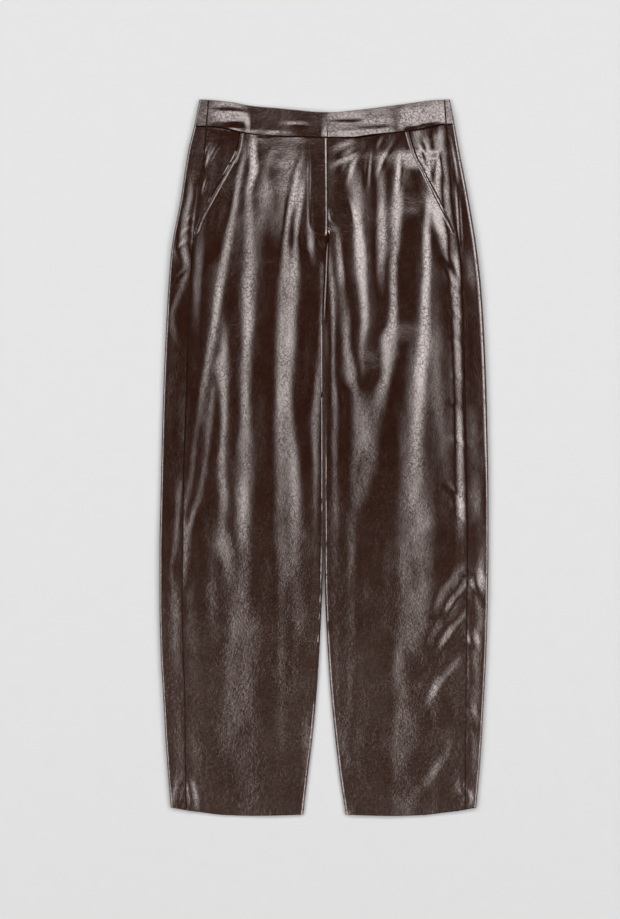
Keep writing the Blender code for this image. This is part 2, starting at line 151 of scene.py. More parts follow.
# -------- folds
# Each list is one fold's flank, as (line, left column, right column, rise over run). Flanks that
# face the wearer's right (-X) rise towards the left, and the others fall.
RISING_RIGHT = [
    [(130, 243, 250, 0), (162, 239, 246, .17), (195, 233, 239, .20), (220, 229, 235, .18),
     (245, 224, 231, .22), (270, 219, 227, .19), (295, 215, 222, .20), (320, 212, 218, .20),
     (345, 207, 214, .17), (370, 203, 209, .16), (395, 198, 204, .14), (420, 195, 201, .13),
     (445, 192, 197, .11), (470, 190, 195, .10), (495, 185, 190, .09), (520, 181, 186, .09),
     (540, 179, 184, 0)],
    [(375, 213, 218, 0), (395, 211, 215, .11), (420, 208, 213, .10), (470, 202, 207, .10),
     (495, 196, 202, .10), (520, 189, 194, .12), (545, 181, 191, .14), (570, 181, 189, .12),
     (592, 182, 190, 0)],
    [(310, 223, 230, 0), (348, 221, 228, .17), (370, 215, 228, .19), (395, 220, 227, .20),
     (420, 221, 227, .17), (445, 220, 225, .15), (470, 218, 226, .15), (495, 220, 228, .18),
     (520, 218, 227, .16), (545, 214, 231, .20), (570, 222, 232, .13), (625, 219, 240, 0)],
    [(540, 228, 246, 0), (570, 225, 252, .07), (597, 221, 257, .14), (620, 225, 259, .17),
     (645, 220, 263, .12), (670, 219, 261, .11), (695, 217, 261, .11), (720, 217, 266, .10),
     (745, 222, 270, .10), (770, 236, 276, .09), (795, 243, 284, .09), (812, 243, 284, .09)],
    [(128, 252, 259, 0), (145, 250, 258, .22), (170, 249, 257, .30), (195, 246, 252, .20),
     (220, 245, 253, .19), (245, 245, 254, .22), (270, 244, 255, .22), (295, 242, 255, .21),
     (320, 243, 254, .23), (345, 243, 251, .23), (370, 241, 251, .19), (395, 241, 250, .20),
     (420, 241, 250, .21), (445, 238, 251, .20), (470, 239, 251, .21), (495, 238, 251, .22),
     (520, 239, 252, .20), (545, 240, 252, .17), (570, 241, 254, .13), (615, 242, 258, 0)],
    [(128, 270, 276, 0), (145, 270, 276, .06), (170, 263, 272, .11), (195, 259, 272, .17),
     (220, 263, 273, .11), (250, 263, 273, 0)],
]
FALLING_RIGHT = [
    [(130, 303, 308, 0), (152, 300, 307, .13), (170, 294, 302, .23), (195, 289, 298, .30),
     (220, 285, 291, .25), (245, 282, 289, .24), (270, 280, 290, .24), (295, 278, 288, .22),
     (320, 277, 287, .23), (345, 276, 286, .24), (370, 276, 285, .22), (395, 276, 284, .24),
     (420, 275, 285, .20), (445, 276, 287, .21), (470, 276, 288, .20), (495, 276, 289, .18),
     (520, 275, 289, .15), (545, 275, 290, .15), (570, 275, 290, .14), (595, 276, 289, .13),
     (620, 275, 291, .11), (645, 275, 285, .09), (670, 272, 285, .10), (695, 271, 285, .08),
     (740, 270, 285, .05), (812, 270, 285, .04)],
    [(134, 304, 309, 0), (170, 303, 308, .15), (195, 299, 305, .26), (220, 294, 301, .25),
     (245, 293, 298, .20), (270, 290, 299, .24), (295, 288, 298, .22), (320, 287, 296, .23),
     (345, 286, 295, .24), (370, 285, 293, .22), (395, 284, 292, .24), (420, 285, 294, .20),
     (445, 287, 297, .20), (470, 288, 300, .19), (495, 289, 302, .18), (520, 289, 303, .15),
     (545, 290, 304, .14), (570, 290, 306, .14), (595, 291, 306, .12), (620, 291, 308, .11),
     (645, 288, 304, .10), (670, 290, 300, .10), (695, 290, 301, .09), (740, 289, 301, .05),
     (812, 289, 301, .04)],
    [(185, 308, 314, 0), (226, 305, 314, .18), (245, 307, 314, .25), (258, 309, 315, .12),
     (272, 310, 316, 0)],
    [(255, 320, 324, 0), (270, 320, 324, .14), (295, 320, 324, .13), (320, 319, 323, .16),
     (345, 318, 323, .15), (370, 316, 322, .17), (395, 314, 321, .18), (420, 310, 319, .17),
     (445, 312, 318, .17), (470, 313, 318, .15), (520, 313, 318, .13), (570, 313, 318, .12),
     (620, 311, 316, .10), (670, 307, 314, .09), (695, 306, 311, .09), (740, 303, 309, .07),
     (812, 297, 303, .06)],
]
RISING_LEFT = [
    [(238, 327, 331, 0), (266, 328, 332, .16), (295, 330, 335, .19), (320, 331, 335, .20),
     (370, 331, 335, .20), (395, 331, 338, .21), (420, 331, 339, .17), (445, 331, 338, .17),
     (470, 332, 338, .13), (520, 331, 338, .12), (570, 331, 338, .10), (620, 332, 339, .09),
     (670, 334, 340, .09), (720, 338, 343, .08), (770, 341, 347, .07), (812, 345, 351, .06)],
    [(205, 331, 336, 0), (240, 336, 341, .20), (270, 338, 344, .27), (295, 340, 347, .17),
     (320, 341, 350, .21), (345, 342, 351, .22), (370, 342, 358, .22), (395, 349, 365, .16),
     (420, 351, 366, .17), (445, 351, 366, .16), (470, 350, 356, .12), (495, 349, 360, .11),
     (520, 348, 357, .11), (570, 348, 355, .10), (620, 349, 357, .09), (670, 348, 356, .09),
     (720, 345, 352, .09), (770, 343, 352, .09), (812, 343, 352, .07)],
    [(116, 379, 386, 0), (145, 378, 385, .11), (170, 376, 385, .19), (195, 377, 386, .22),
     (220, 377, 386, .30), (245, 376, 387, .26), (270, 376, 384, .20), (300, 377, 384, 0)],
    [(116, 392, 400, 0), (145, 393, 401, .10), (170, 394, 402, .24), (195, 393, 403, .30),
     (220, 391, 401, .31), (245, 391, 399, .27), (270, 390, 397, .27), (295, 390, 397, .29),
     (320, 388, 397, .30), (345, 380, 396, .31), (370, 381, 393, .26), (395, 372, 389, .22),
     (420, 367, 385, .18), (445, 366, 382, .18), (470, 361, 378, .16), (495, 357, 372, .10),
     (520, 353, 368, 0)],
    [(128, 407, 418, 0), (150, 407, 419, .02), (200, 407, 420, .02), (300, 404, 417, .02),
     (350, 400, 415, 0)],
    [(126, 430, 440, 0), (138, 430, 440, .24), (148, 431, 440, .25), (160, 430, 436, .22),
     (172, 430, 435, .20), (184, 431, 436, 0)],
]
FALLING_LEFT = [
    [(120, 334, 350, 0), (160, 341, 356, .12), (178, 345, 361, .17), (195, 350, 362, .20),
     (220, 353, 361, .28), (245, 355, 364, .31), (270, 357, 366, .28), (295, 360, 367, .27),
     (320, 361, 368, .25), (345, 359, 365, .18), (395, 358, 364, 0)],
    [(180, 424, 430, 0), (205, 424, 430, .22), (220, 424, 430, .25), (245, 423, 430, .30),
     (270, 424, 430, .30), (295, 422, 429, .28), (320, 421, 429, .24), (345, 418, 429, .26),
     (370, 416, 426, .28), (395, 415, 424, .23), (420, 413, 422, .19), (445, 411, 421, .17),
     (470, 407, 426, .15), (495, 404, 428, .15), (520, 397, 438, .13), (545, 396, 426, .13),
     (570, 397, 425, .12), (595, 396, 433, .12), (620, 398, 434, .11), (645, 396, 417, .10),
     (670, 394, 408, .09), (720, 399, 418, .10), (745, 392, 414, .10), (812, 396, 420, .08)],
    [(120, 424, 438, 0), (160, 426, 438, .09), (195, 427, 441, .25), (220, 432, 444, .29),
     (240, 438, 448, .18), (262, 441, 448, 0)],
    [(124, 411, 421, 0), (134, 412, 421, .18), (143, 412, 419, .14), (156, 414, 421, 0)],
]
RISING_STRIP_RIGHT = [
    [(470, 178, 184, 0), (495, 176, 182, .11), (520, 175, 180, .11), (545, 172, 178, .13),
     (570, 169, 174, .10), (595, 168, 181, .11), (645, 168, 182, .11), (670, 169, 183, .07),
     (745, 170, 183, .07), (812, 174, 184, .05)],
    [(170, 187, 195, 0), (195, 186, 194, .15), (220, 179, 191, .14), (245, 177, 190, .19),
     (265, 183, 191, .12), (290, 177, 184, .09), (320, 168, 174, .10), (345, 171, 180, 0)],
]
FALLING_STRIP_LEFT = [
    [(540, 476, 484, 0), (570, 477, 484, .13), (595, 474, 483, .15), (620, 476, 483, .11),
     (645, 471, 481, .15), (695, 470, 480, .11), (720, 466, 478, .12), (745, 470, 480, .10),
     (812, 468, 476, .06)],
]
# line, share of the tables' tilts that the right and the left side's flanks have
TILT_SHARE = [
    (99, 1.0, 1.04), (240, 1.0, 1.02), (500, 0.95, 1.0), (600, 0.66, 0.8), (812, 0.56, 0.7),
]


# -------- curves through the tables
def curve(at, xs, ys):
    """A smooth curve through a table's points that never swings past them, flat beyond its ends."""
    xs, ys = np.asarray(xs, float), np.asarray(ys, float)
    at = np.clip(at, xs[0], xs[-1])
    run = np.diff(xs)
    rise = np.diff(ys) / run
    slope = np.zeros_like(ys)
    same_way = rise[:-1] * rise[1:] > 0
    before, after = run[:-1], run[1:]
    weight_a, weight_b = 2 * after + before, after + 2 * before
    with np.errstate(divide="ignore", invalid="ignore"):
        mean = (weight_a + weight_b) / (weight_a / rise[:-1] + weight_b / rise[1:])
    slope[1:-1] = np.where(same_way, mean, 0.0)
    slope[0], slope[-1] = rise[0], rise[-1]
    i = np.clip(np.searchsorted(xs, at, side="right") - 1, 0, len(xs) - 2)
    t = (at - xs[i]) / run[i]
    return (
        ys[i] * (1 + 2 * t) * (1 - t) ** 2
        + ys[i + 1] * t**2 * (3 - 2 * t)
        + run[i] * t * (1 - t) * (slope[i] * (1 - t) - slope[i + 1] * t)
    )


def column(table, number):
    return [row[number] for row in table]


def read(table, number, at):
    return curve(at, column(table, 0), column(table, number))


def step(value, middle, width):
    """Rises smoothly from 0 to 1 over the given width."""
    t = np.clip((value - middle) / width + 0.5, 0, 1)
    return t * t * (3 - 2 * t)


def across(grid_column):
    return (grid_column - MIDDLE_COLUMN) * STEP


def down(grid_line):
    return (grid_line - TOP_LINE) * STEP


def column_at(x):
    return x / STEP + MIDDLE_COLUMN


def line_at(drop):
    return drop / STEP + TOP_LINE


def through(points):
    """Grid points in mm, and how far along the way through them each one lies."""
    places = np.array([(across(grid_column), down(grid_line)) for grid_column, grid_line in points])
    return places, np.concatenate([[0], np.cumsum(np.hypot(*np.diff(places, axis=0).T))])


# -------- the two sides of the garment
class Side(NamedTuple):
    name: str
    sign: int  # of X
    number: int  # its column in the tables that have one for each side
    rising: list
    falling: list
    strip_rising: list  # between the side seam and the outer edge
    strip_falling: list


RIGHT = Side("right", -1, 1, RISING_RIGHT, FALLING_RIGHT, RISING_STRIP_RIGHT, [])
LEFT = Side("left", 1, 2, RISING_LEFT, FALLING_LEFT, [], FALLING_STRIP_LEFT)


def edge_out(side, drop):
    return read(SECTIONS, side.number, drop)


def seam_out(side, drop):
    return read(SECTIONS, side.number + 2, drop)


def inner_out(side, drop):
    return read(INNER_LEG, side.number, drop) + GAP / 2


def outer_roll(side, drop):
    return read(OUTER_ROLL, side.number, drop)


def centre_x(drop):
    return read(CENTRE_FRONT, 1, drop)


def mouth_out(side, drop):
    seam = seam_out(side, drop)
    slanted = np.minimum(read(POCKET_MOUTH, side.number, drop), seam)
    return np.where(drop < POCKET_BOTTOM, slanted, seam)


def in_leg(drop):
    return step(drop, CROTCH, 2 * CROTCH_EASE)


def front_inner_x(side, drop):
    underlap = (side is LEFT) * FLY_UNDERLAP * (1 - step(drop, FLY_BOTTOM - 12, FLY_RUN_OUT))
    centre = centre_x(drop) + side.sign * GAP / 2 - underlap
    leg = side.sign * inner_out(side, drop)
    return np.where(drop < CROTCH, centre, leg)


# -------- relief
PITCH = 1.0  # of the map on which the folds and creases are drawn
MAP_X = np.arange(-246, 247, PITCH)
MAP_DROP = np.arange(-14, 1036, PITCH)

# (column, line) points of the row of stitches beside the fly
FLY_STITCHES = [
    (309.5, 139), (309, 180), (309, 218), (310.5, 228), (314.5, 232), (320, 234.5), (326.5, 236.5),
]
# width in grid steps on the left and on the right of the way that a crease runs, its height, and
# the (column, line) points that it runs through
CREASES = [
    (1.6, 1.6, -0.6, *FLY_STITCHES),
    # waistband, right front
    (14, 4, 1.7, (209, 122), (222, 123), (236, 123.5), (250, 125)),
    (11, 3, 0.8, (226, 121), (238, 122), (250, 123)),
    (6, 3, 0.6, (211, 107), (228, 107.5), (248, 109.5)),
    (5, 1.5, 0.6, (210, 130.5), (228, 132), (246, 134)),
    (6, 1.5, 0.7, (245, 134), (262, 135.5), (283, 136), (303, 136.5)),
    (5, 1.5, 0.4, (245, 133.5), (252, 134.5), (260, 135)),
    (5, 1.5, 0.7, (276, 126), (294, 126), (311, 126.5)),
    # waistband, left front
    (8, 2.5, 0.5, (326, 119.5), (345, 119.5), (368, 118.5)),
    (7, 3, 0.35, (352, 126), (374, 125.5), (398, 123)),
    (6, 1.5, 1.0, (328, 137), (350, 137), (370, 136), (394, 133)),
    (20, 4, 1.9, (396, 129), (412, 127), (430, 124.5)),
    (18, 4, 2.3, (418, 124.5), (432, 123.5), (447, 121.5)),
    # below the waist seam, left front
    (9, 7, 1.3, (330, 156), (345, 150), (364, 141)),
    (7, 6, 0.8, (330, 172), (345, 163), (360, 152)),
    (3.5, 3.5, 0.6, (402, 137), (401, 160), (397, 200)),
    (3.5, 3.5, 0.6, (398, 137), (384, 160), (376, 180)),
    (3.5, 3.5, 0.5, (386, 135), (381, 143), (377, 152)),
    (5, 5, 0.8, (362, 146), (352, 162), (344, 186)),
    (4, 5, 0.8, (371, 140), (368, 165), (366, 196)),
    (5, 5, 0.6, (346, 196), (352, 214), (357, 236)),
    # pocket facings
    (3.5, 3.5, -0.6, (222, 140), (214, 152), (206, 170)),
    (3, 3, 0.5, (214, 138), (207, 152), (203, 172)),
    (2.5, 2.5, -0.5, (208, 176), (205, 186), (203, 196)),
    (3.5, 3.5, -0.7, (419, 138), (424, 152), (430, 172)),
    (5, 5, 0.6, (430, 145), (437, 165), (444, 190)),
    # side strips, high up
    (2.5, 3, 0.5, (186, 222), (191, 218), (197, 216)),
    (2.5, 3, 0.5, (180, 236), (188, 230), (196, 228)),
    (2.5, 3, 0.5, (176, 250), (185, 243), (192, 241)),
    (3, 3, 0.5, (174, 282), (181, 274), (187, 270)),
    (3, 3, 0.5, (448, 132), (453, 160), (459, 196)),
    (3, 3, -0.6, (456, 172), (459, 215), (462, 262)),
    # at the foot of the fly
    (3, 3, 0.8, (329, 208), (331, 217), (334, 226)),
    (2.5, 2.5, -0.7, (328, 223), (330, 227), (334, 231)),
    (3, 3, 0.5, (318, 237), (322, 244), (326, 252)),
    # beside the left side seam, above the knee
    (5, 5, 0.9, (440, 252), (449, 266), (458, 288)),
    (5, 4, 0.6, (448, 286), (456, 292), (464, 294)),
    (5, 4, -0.5, (450, 308), (457, 316), (464, 320)),
    (6, 4, 0.5, (447, 336), (456, 340), (464, 348)),
    (5, 4, -0.5, (450, 372), (457, 376), (464, 378)),
    (6, 5, 0.5, (448, 398), (456, 406), (464, 410)),
    (5, 4, -0.5, (449, 436), (457, 440), (465, 448)),
    (6, 4, 0.9, (442, 482), (452, 491), (465, 498)),
    (5, 4, -0.4, (452, 512), (458, 516), (466, 524)),
    (12, 9, 1.3, (461, 246), (463, 268), (465, 296)),
    (14, 9, 0.8, (464, 400), (465, 436), (466, 472)),
    (16, 9, 1.1, (466, 474), (466, 500), (467, 528)),
    (4, 5, -0.5, (450, 500), (457, 506), (466, 507)),
    # the left knee
    (9, 13, 2.5, (470, 560), (460, 582), (446, 602), (436, 626)),
    (9, 13, 2.3, (469, 597), (457, 616), (441, 635), (430, 658)),
    (10, 17, 2.0, (467, 644), (450, 662), (430, 686), (414, 716)),
    (12, 7, 1.6, (464, 562), (472, 576), (482, 592), (488, 610)),
    (9, 5, 1.0, (465, 628), (473, 641), (482, 654)),
    (9, 5, 1.0, (465, 702), (472, 716), (480, 734)),
    (11, 24, 1.5, (458, 722), (442, 750), (420, 780), (402, 800)),
    # near the hems
    (7, 6, 1.1, (184, 772), (190, 788), (194, 812)),
    (6, 7, 0.9, (184, 772), (179, 788), (175, 812)),
    (6, 6, 1.0, (467, 774), (461, 786), (468, 797), (462, 812)),
]


NEAR_HEM_LINE = 805  # a flank whose last line is beyond this one goes on to the hem
SKIRT = 0.22  # share of a flank's tilt that reaches as far again on both sides
SOFT_EDGE = (2.5, 60)  # the narrowest and the widest that a flank's edge is softened over
ROUNDS = 8  # how often the tilts are corrected
CORRECTION = 0.7  # share of a tilt's fault that one round takes up
CORRECTION_SIZE = 9  # how widely it is smoothed down the flank
FIRM_TILT = 0.08  # flanks less tilted than this are corrected less
SWELL_SIZE = 26.0  # width of the swell that the folds do without in part
SWELL_LEFT_OUT = 0.25  # share of it, everywhere
WAIST_SWELL_LEFT_OUT = 0.6  # more of it near the waist
SWELL_BACK = (150, 160)  # middle and width of the stretch in which this part comes back


def ramp(t):
    """The integral of a smooth step from 0 to 1."""
    t = np.maximum(t, 0)
    return np.where(t < 1, t**3 - t**4 / 2, t - 0.5)


class Flank:
    """One fold's flank on the map: where it lies in each row, and how it is tilted there."""

    def __init__(self, marks, sign, side):
        line = line_at(MAP_DROP)[:, None]
        left, right, tilt = (read(marks, number, line) for number in (1, 2, 3))
        tilt = tilt * read(TILT_SHARE, side.number, line)
        first, last = marks[0][0], marks[-1][0]
        inside = (line > first) & ((line < last) | (last > NEAR_HEM_LINE))
        self.left, self.right = across(left), across(right)
        self.tilt = self.wanted = sign * np.where(inside, tilt, 0)
        middle = (self.left + self.right) / 2
        self.middle = np.clip(np.round((middle - MAP_X[0]) / PITCH), 1, len(MAP_X) - 2).astype(int)

    def height(self, x):
        """Height gained, going towards +X, with softened edges."""

        def rise(start, end, soft):
            return soft * (ramp((x - start) / soft + 0.5) - ramp((x - end) / soft + 0.5))

        width = self.right - self.left
        core = rise(self.left, self.right, np.clip(width, *SOFT_EDGE))
        skirt = rise(self.left - width, self.right + width, 2 * width)
        return self.tilt * ((1 - SKIRT) * core + SKIRT * skirt)

    def correct(self, slope):
        """Takes up what neighbouring folds and the ground add to the tilt or take from it."""
        here = np.take_along_axis(slope, self.middle, axis=1)
        firm = np.clip(np.abs(self.wanted) / FIRM_TILT, 0, 1)
        fault = smooth_down(firm * (self.wanted - here), CORRECTION_SIZE)
        self.tilt = self.tilt + CORRECTION * fault


def level_at_ends(flanks, start, end):
    """The flanks' summed height on the map, between two places where it is brought to 0."""
    start, end = (np.broadcast_to(place, (len(MAP_DROP), 1)) for place in (start, end))
    left, right = np.minimum(start, end), np.maximum(start, end)
    x = np.clip(MAP_X[None, :], left, right)

    def summed(place):
        return sum(flank.height(place) for flank in flanks)

    share = (x - left) / (right - left)
    return summed(x) - summed(left) * (1 - share) - summed(right) * share


def smooth_across(heights, size):
    """The heights blurred along each row of the map."""
    padded = 2 * len(MAP_X)
    wave = np.fft.rfftfreq(padded, PITCH)
    kept = np.fft.rfft(heights, padded, axis=1) * np.exp(-2 * (np.pi * wave * size) ** 2)
    return np.fft.irfft(kept, padded, axis=1)[:, : len(MAP_X)]


def smooth_down(values, size):
    """The values blurred along each column of the map, as if mirrored beyond its ends."""
    mirrored = np.concatenate([values, values[::-1]])
    wave = np.fft.rfftfreq(len(mirrored), PITCH)[:, None]
    kept = np.fft.rfft(mirrored, axis=0) * np.exp(-2 * (np.pi * wave * size) ** 2)
    return np.fft.irfft(kept, len(mirrored), axis=0)[: len(values)]


def without_swell(heights, start, end, size, share):
    """The heights less a share of their wide swell, and again 0 at the two places."""
    heights = heights - share * smooth_across(heights, size)
    left, right = np.minimum(start, end), np.maximum(start, end)

    def height_at(place):
        index = np.clip(np.round((place - MAP_X[0]) / PITCH), 0, len(MAP_X) - 1).astype(int)
        return np.take_along_axis(heights, index, axis=1)

    x = MAP_X[None, :]
    along = np.clip((x - left) / (right - left), 0, 1)
    inside = (x >= left) & (x <= right)
    return np.where(inside, heights - height_at(left) * (1 - along) - height_at(right) * along, 0)


def flanks_of(side, rising, falling):
    signed = [(marks, 1) for marks in rising] + [(marks, -1) for marks in falling]
    return [Flank(marks, sign, side) for marks, sign in signed]


def folds_of(side):
    """One side's folds over its ground, level at the side seam, the middle and the outer edge."""
    drop = MAP_DROP[:, None]
    seam = side.sign * seam_out(side, drop)
    inner = front_inner_x(side, np.maximum(drop, FLY_BOTTOM + 10))
    inner = inner + side.sign * ROLL_IN * in_leg(drop)
    edge = side.sign * (edge_out(side, drop) - outer_roll(side, drop))
    x = MAP_X[None, :]
    under = ground(side, x, drop)
    lifted = under + front_lift(side, x, drop, smooth=True)
    flanks = flanks_of(side, side.rising, side.falling)
    left_out = SWELL_LEFT_OUT + WAIST_SWELL_LEFT_OUT * (1 - step(drop, *SWELL_BACK))
    for _ in range(ROUNDS):
        front = level_at_ends(flanks, seam, inner)
        front = without_swell(front, seam, inner, SWELL_SIZE, left_out)
        slope = np.gradient(front + lifted, PITCH, axis=1)
        for flank in flanks:
            flank.correct(slope)
    strips = flanks_of(side, side.strip_rising, side.strip_falling)
    for _ in range(ROUNDS):
        strip = level_at_ends(strips, seam, edge)
        slope = np.gradient(strip + under, PITCH, axis=1)
        for flank in strips:
            flank.correct(slope)
    return front + strip


CREASE_PITCH = 1.5  # between the points of a crease's path
CREASE_POINTS = 8  # the fewest that a crease's path is followed by
CREASE_END = 1.2  # the higher, the sooner a crease grows lower towards its ends


def draw_crease(heights, near, far, height, points):
    """Adds a small ridge, or a trough where its height is negative, along a smooth line."""
    points, chord = through(points)
    along = np.linspace(0, chord[-1], max(CREASE_POINTS, int(chord[-1] / CREASE_PITCH)))
    path = np.stack([curve(along, chord, points[:, k]) for k in (0, 1)], axis=-1)
    tangent = np.gradient(path, axis=0)
    tangent /= np.linalg.norm(tangent, axis=1, keepdims=True)
    reach = max(near, far) * STEP

    def beside_path(places, k):
        low, high = path[:, k].min() - reach, path[:, k].max() + reach
        return np.flatnonzero((places > low) & (places < high))

    columns, rows = beside_path(MAP_X, 0), beside_path(MAP_DROP, 1)
    place = np.stack(np.meshgrid(MAP_X[columns], MAP_DROP[rows]), axis=-1)
    offset = place[:, :, None] - path
    nearest = np.argmin((offset**2).sum(-1), axis=-1)
    offset = np.take_along_axis(offset, nearest[..., None, None], axis=2)[:, :, 0]
    way = tangent[nearest]
    aside = way[..., 0] * offset[..., 1] - way[..., 1] * offset[..., 0]
    width = np.where(aside < 0, near, far) * STEP
    share = along[nearest] / along[-1]
    profile = (1 - np.clip(aside / width, -1, 1) ** 2) ** 2 * np.sin(np.pi * share) ** CREASE_END
    heights[np.ix_(rows, columns)] += height * profile


def crumple(seed, across_size, along_size, height):
    """Smooth uneven ground: seeded noise without anything finer than the sizes given."""
    noise = np.random.default_rng(seed).standard_normal((len(MAP_DROP), len(MAP_X)))
    wave_along = np.fft.fftfreq(len(MAP_DROP), PITCH)[:, None] * along_size
    wave_across = np.fft.rfftfreq(len(MAP_X), PITCH)[None, :] * across_size
    kept = np.fft.rfft2(noise) * np.exp(-2 * (wave_along**2 + wave_across**2))
    smooth = np.fft.irfft2(kept, noise.shape)
    return smooth * height / smooth.std()


def small_relief():
    """Heights that don't depend on the folds: the leather's unevenness and its small creases."""
    heights = crumple(1, 22, 110, 0.16) + crumple(2, 16, 12, 0.04) + crumple(3, 6, 3.5, 0.011)
    lower_leg = step(MAP_DROP[:, None], 560, 300)
    heights = heights + lower_leg * (crumple(4, 30, 9, 0.06) + crumple(5, 24, 50, 0.12))
    for near, far, height, *points in CREASES:
        draw_crease(heights, near, far, height, points)
    return heights


class Relief:
    """Heights on the map's grid, read at any place between its points."""

    def __init__(self, heights):
        self.heights = heights

    def __call__(self, x, drop):
        i_at = np.clip((drop - MAP_DROP[0]) / PITCH, 0, len(MAP_DROP) - 1.001)
        j_at = np.clip((x - MAP_X[0]) / PITCH, 0, len(MAP_X) - 1.001)
        i_at, j_at = np.broadcast_arrays(i_at, j_at)
        i, j = i_at.astype(int), j_at.astype(int)
        s, t = i_at - i, j_at - j
        upper = self.heights[i, j] * (1 - t) + self.heights[i, j + 1] * t
        lower = self.heights[i + 1, j] * (1 - t) + self.heights[i + 1, j + 1] * t
        return upper * (1 - s) + lower * s


FLY_RISE = 2.2  # how far the ground rises towards the fly
FLY_RISE_TOP = (95, 110)  # middle and width of the stretch in which the rise begins
FLY_RISE_BOTTOM = (FLY_BOTTOM + 30, 60)  # the same for its end
FLY_RISE_SIDE = (70, 60)  # the same to both sides


def ground(side, x, drop):
    """The height of a panel's top without its folds."""
    side_top, level = read(HEIGHTS, side.number, drop), read(HEIGHTS, 3, drop)
    width = read(HEIGHTS, side.number + 3, drop)
    from_seam = seam_out(side, drop) - side.sign * x
    fly = FLY_RISE * step(drop, *FLY_RISE_TOP) * (1 - step(drop, *FLY_RISE_BOTTOM))
    fly = fly * (1 - step(np.abs(x - centre_x(drop)), *FLY_RISE_SIDE))
    return side_top + (level - side_top) * step(from_seam, width / 2, width) + fly


def skin(side, x, drop):
    """The height of a panel's top, never so low that it would cut into what lies under it."""
    top = ground(side, x, drop) + FOLDS[side.name](x, drop) + SMALL(x, drop)
    return LEAST_TOP + np.logaddexp(0, (top - LEAST_TOP) / TOP_SOFTNESS) * TOP_SOFTNESS


# -------- rows
WAIST_EASE = 140.0  # stretch in which the rows leave the shape of the waist seam
HEM_EASE = 100.0


def row_drop(x, nominal):
    """The drop of a panel's row at x: the rows follow the waist seam and the hem."""
    near_waist = 1 - step(nominal, WAIST_ROW + WAIST_EASE / 2, WAIST_EASE)
    near_hem = step(nominal, LENGTH - HEM_EASE / 2, HEM_EASE)
    waist = read(WAIST_SEAM, 1, x) - WAIST_ROW + GAP
    hem = read(HEM, 1, np.abs(x)) - LENGTH
    return nominal + waist * near_waist + hem * near_hem


def on_rows(place, nominal):
    """x and drop on the rows, where place gives the x that goes with a drop."""
    x = place(nominal)
    x = place(row_drop(x, nominal))
    return x, row_drop(x, nominal)


def nominal_drop(v):
    return WAIST_ROW + (LENGTH - WAIST_ROW) * v


def finished(x, drop, height):
    """Points in metres, with the origin in the middle of the garment's length."""
    return np.stack([x, LENGTH / 2 - drop, height], axis=-1) * MM


# -------- edges
def turn_down(t, legs):
    """How far across and how far down the roll of an inner edge has gone, from 0 to 1."""
    return t + (1 - (1 - t) ** 1.5 - t) * legs, t + (1 - (1 - t) ** 1.3 - t) * (1 - legs)


def turned_edge(inwards, reach=TURN_REACH, depth=TURN_DEPTH):
    """How far an edge turns down, steeply enough to look like a thin dark line."""
    return depth * (1 - np.clip(inwards / reach, 0, 1))


def waist_edge(x, drop):
    return turned_edge(drop - read(WAIST_SEAM, 1, x) - GAP)


def from_edge(share, whole):
    """The share of the way across a piece, with columns of its own for the edge at its start."""
    strip = TURN_REACH * share / EDGE_SHARE
    rest = TURN_REACH + (whole - TURN_REACH) * (share - EDGE_SHARE) / (1 - EDGE_SHARE)
    return np.where(share < EDGE_SHARE, strip, rest) / whole


# -------- fronts
FRONT_FLAT = 0.93  # share of the columns that isn't in the inner roll
MOUTH_ROUNDING = 0.5  # how far a pocket's mouth rounds down
MOUTH_ROUNDED = 6.0  # and over what width
FLY_ROUNDING = (3.0, 0.8)  # width over which the fly's edge rounds down, and how far
FLY_STEP = (0.8, 0.7)  # the same for the sharp step at the very edge
# drop and width of the stretches in which these run out downwards
POCKET_END = (POCKET_BOTTOM + 36, 34)
ROUNDING_END = (POCKET_BOTTOM, 20)
GROOVE_END = (POCKET_BOTTOM, 8)
FLY_END = (FLY_BOTTOM + 16, 24)


def front_lift(side, x, drop, smooth=False):
    """How far the pocket and the fly lift a front, less its edges unless smooth is set."""
    inwards = mouth_out(side, drop) - side.sign * x
    pocket = 1 - step(inwards, POCKET_UNDERLAP + 3 + POCKET_EASE / 2, POCKET_EASE)
    lift = POCKET_LIFT * (pocket * (1 - step(drop, *POCKET_END)))
    if side is RIGHT:
        from_fly = centre_x(drop) - x
        fly = FLY_LIFT * (1 - step(from_fly, FLY_WIDTH + FLY_FLANK / 2 + 1, FLY_FLANK))
        if not smooth:
            fly = fly - turned_edge(from_fly, *FLY_ROUNDING) - turned_edge(from_fly, *FLY_STEP)
        lift = lift + fly * (1 - step(drop, *FLY_END))
    if smooth:
        return lift
    rounded = MOUTH_ROUNDING * (1 - np.clip(inwards / MOUTH_ROUNDED, 0, 1)) ** 2
    rounded = rounded * (1 - step(drop, *ROUNDING_END))
    groove = turned_edge(np.abs(inwards - MOUTH_STITCH), GROOVE_REACH, STITCH_GROOVE)
    groove = groove * (1 - step(drop, *GROOVE_END))
    return lift - rounded - groove - turned_edge(inwards - GAP / 2) - waist_edge(x, drop)


